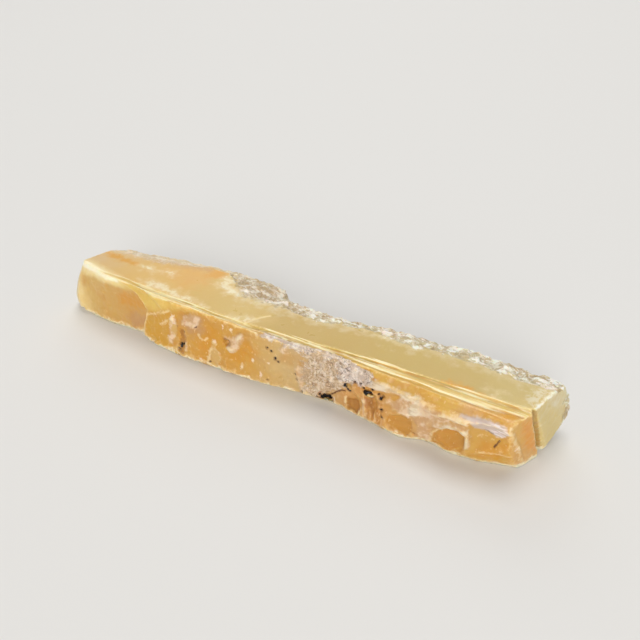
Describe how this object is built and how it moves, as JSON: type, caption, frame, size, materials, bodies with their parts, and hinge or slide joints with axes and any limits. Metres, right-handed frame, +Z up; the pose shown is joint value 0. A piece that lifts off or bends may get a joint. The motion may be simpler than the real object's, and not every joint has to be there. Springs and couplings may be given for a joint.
{
  "type": "hokkaidoite slice",
  "caption": "Long sawn slice of banded waxy stone, amber in front and pale honey green behind, with flat top and base and a rough crusted back edge",
  "frame": {"origin": "middle of the slice's outline box, on the surface that it lies on", "axes": "X along the slice towards the end with the gaping seam, -Y is the amber front face, +Z up through the thickness"},
  "size_m": [0.091, 0.017, 0.0106],
  "materials": {
    "stone": "waxy, translucent"
  },
  "bodies": {
    "root": {"slice": "stone"}
  },
  "joints": []
}
